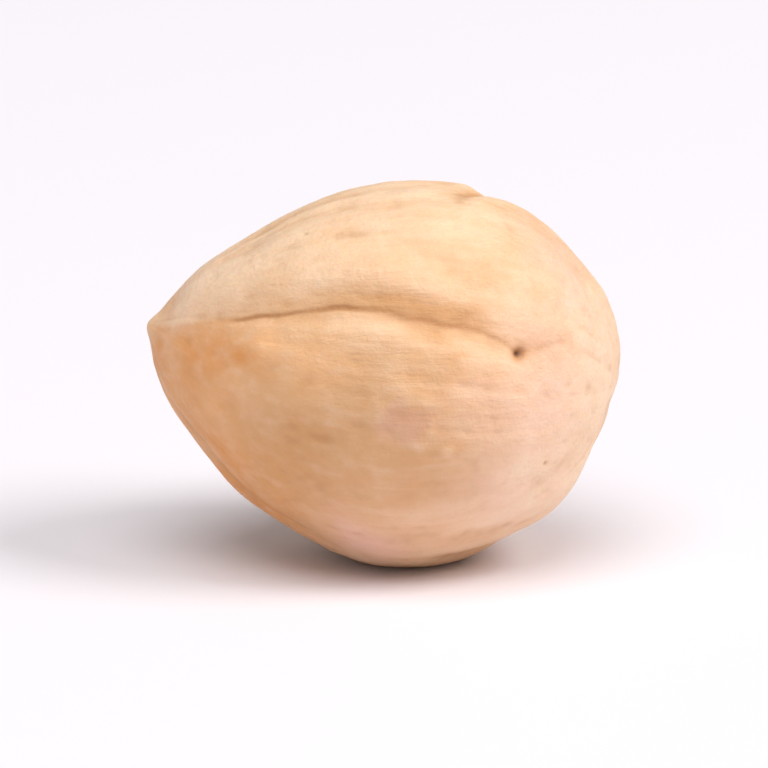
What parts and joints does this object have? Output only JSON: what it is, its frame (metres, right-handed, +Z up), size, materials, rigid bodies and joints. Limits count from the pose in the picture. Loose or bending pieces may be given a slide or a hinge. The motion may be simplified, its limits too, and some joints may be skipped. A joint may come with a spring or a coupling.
{
  "type": "hazelnut",
  "caption": "Shelled, blanched hazelnut kernel: a pale pointed egg shape with soft lengthwise folds and a round base scar, lying on its side on a small flat spot.",
  "frame": {"origin": "middle of the base of its bounding box, on the surface that it lies on", "axes": "+Z up, +X from the pointed tip to the rounded base, -Y the side with the long fold"},
  "size_m": [0.0164, 0.013, 0.0132],
  "materials": {
    "hazelnut_flesh": "soft satin, slightly oily"
  },
  "bodies": {
    "root": {"hazelnut_kernel": "hazelnut_flesh"}
  },
  "joints": []
}
